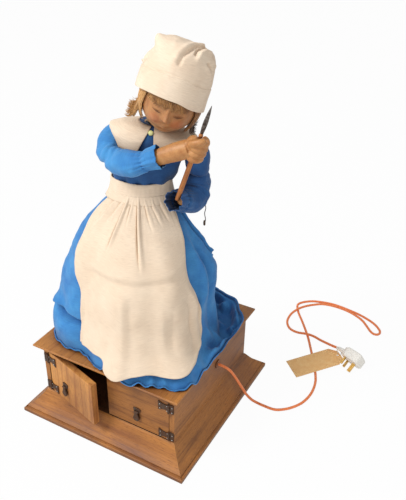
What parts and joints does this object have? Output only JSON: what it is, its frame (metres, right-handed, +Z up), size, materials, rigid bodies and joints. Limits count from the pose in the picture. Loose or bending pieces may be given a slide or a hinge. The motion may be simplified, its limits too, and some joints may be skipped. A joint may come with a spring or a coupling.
{
  "type": "automaton doll",
  "caption": "Dressed doll with a stick tool on a hinged wooden cabinet; a motor, gears and cams inside lift its arms and nod its head.",
  "frame": {"origin": "centre of the cabinet's underside, on the surface that it stands on", "axes": "+Z up, -Y out of the doors, +X towards the side that the cord leaves"},
  "size_m": [0.6124, 0.7279, 0.8039],
  "materials": {
    "pine": "varnished pine, honey brown, satin",
    "pine_shade": "darker varnished pine, satin",
    "carved_wood": "plain carved wood, matt",
    "stick_wood": "orange-brown turned wood",
    "dark_iron": "dark brown patinated iron",
    "steel": "plain turned steel",
    "brass": "brass, lightly worn",
    "motor_paint": "dark grey-green enamel",
    "blue_cotton": "plain woven blue cotton",
    "cream_cotton": "plain woven unbleached cotton",
    "painted_skin": "carved wood, painted tan, satin",
    "brown_hair": "golden brown hair fibre",
    "pale_button": "pale yellow-green button, glossy",
    "orange_cord": "orange flexible sheath, satin",
    "white_plastic": "white moulded plastic",
    "manila": "plain manila card",
    "twine": "dark twisted twine"
  },
  "bodies": {
    "cabinet_and_figure": {"plinth_front": "pine", "plinth_right": "pine", "plinth_back": "pine", "plinth_left": "pine", "top_board": "pine", "side_panel_right": "pine_shade", "side_panel_left": "pine_shade", "back_panel": "pine_shade", "floor_panel": "pine_shade", "frame_leaf_left_upper": "dark_iron", "frame_leaf_left_lower": "dark_iron", "frame_leaf_right_upper": "dark_iron", "frame_leaf_right_lower": "dark_iron", "plug_earth_pin": "brass", "plug_line_pin": "brass", "plug_neutral_pin": "brass", "motor": "motor_paint", "bearing_left": "carved_wood", "bearing_right": "carved_wood", "hip_block": "carved_wood", "torso_block": "carved_wood", "figure_post": "carved_wood", "cord_bush": "white_plastic", "plug_body": "white_plastic", "motor_lead": "orange_cord", "mains_cord": "orange_cord", "label_tag": "manila", "label_string": "twine", "skirt": "blue_cotton", "bodice": "blue_cotton", "apron": "cream_cotton", "collar": "cream_cotton", "collar_button": "pale_button"},
    "left_door": {"door_left": "pine", "door_leaf_left_upper": "dark_iron", "door_leaf_left_lower": "dark_iron", "pull_plate_left": "dark_iron"},
    "right_door": {"door_right": "pine", "door_leaf_right_upper": "dark_iron", "door_leaf_right_lower": "dark_iron", "pull_plate_right": "dark_iron"},
    "left_pull": {"drop_pull_left": "dark_iron"},
    "right_pull": {"drop_pull_right": "dark_iron"},
    "cam_set": {"camshaft": "steel", "drive_gear": "brass"},
    "rotor": {"motor_pinion": "steel"},
    "arm_lifter": {"arm_rod": "steel"},
    "head_lifter": {"head_rod": "steel"},
    "arms": {"shoulder_shaft": "steel", "right_arm": "painted_skin", "left_arm": "painted_skin", "right_sleeve": "blue_cotton", "left_sleeve": "blue_cotton", "tool_handle": "stick_wood", "tool_blade": "dark_iron", "sleeve_drawstring": "twine"},
    "head_set": {"head": "painted_skin", "hair": "brown_hair", "cap": "cream_cotton", "nod_lever": "steel"}
  },
  "joints": [
    {"name": "left_door_hinge", "type": "hinge", "parent": "cabinet_and_figure", "child": "left_door", "pos_m": [-0.1475, -0.1617, 0.107], "axis": [0, 0, -1], "range_deg": [-16.3, 93.7]},
    {"name": "right_door_hinge", "type": "hinge", "parent": "cabinet_and_figure", "child": "right_door", "pos_m": [0.1475, -0.1617, 0.107], "axis": [0, 0, 1], "range_deg": [0, 110]},
    {"name": "left_pull_swing", "type": "hinge", "parent": "left_door", "child": "left_pull", "pos_m": [-0.09609, -0.1783, 0.097], "axis": [-0.9598, 0.2807, 0], "range_deg": [0, 80]},
    {"name": "right_pull_swing", "type": "hinge", "parent": "right_door", "child": "right_pull", "pos_m": [0.0725, -0.1632, 0.097], "axis": [-1, 0, 0], "range_deg": [0, 80]},
    {"name": "camshaft_spin", "type": "hinge", "parent": "cabinet_and_figure", "child": "cam_set", "pos_m": [0, -0.009, 0.103], "axis": [1, 0, 0], "continuous": true},
    {"name": "motor_spin", "type": "hinge", "parent": "cabinet_and_figure", "child": "rotor", "pos_m": [-0.07, 0.01698, 0.088], "axis": [1, 0, 0], "continuous": true},
    {"name": "arms_lift", "type": "hinge", "parent": "cabinet_and_figure", "child": "arms", "pos_m": [0.02227, 0.00361, 0.603], "axis": [-0.9182, -0.371, 0.1392], "range_deg": [0, 5]},
    {"name": "arm_rod_slide", "type": "slide", "parent": "cabinet_and_figure", "child": "arm_lifter", "axis": [0, 0, 1], "range_m": [0, 0.0009]},
    {"name": "head_nod", "type": "hinge", "parent": "cabinet_and_figure", "child": "head_set", "pos_m": [0.02857, 0.00939, 0.646], "axis": [-0.9272, -0.3746, 0], "range_deg": [0, 7]},
    {"name": "head_rod_slide", "type": "slide", "parent": "cabinet_and_figure", "child": "head_lifter", "axis": [0, 0, 1], "range_m": [0, 0.0025]}
  ],
  "couplings": [
    {"joint": "motor_spin", "follows": "camshaft_spin", "ratio": -3.8},
    {"joint": "arm_rod_slide", "follows": "arms_lift", "m_per_rad": 0.00999},
    {"joint": "head_rod_slide", "follows": "head_nod", "m_per_rad": 0.01983}
  ]
}
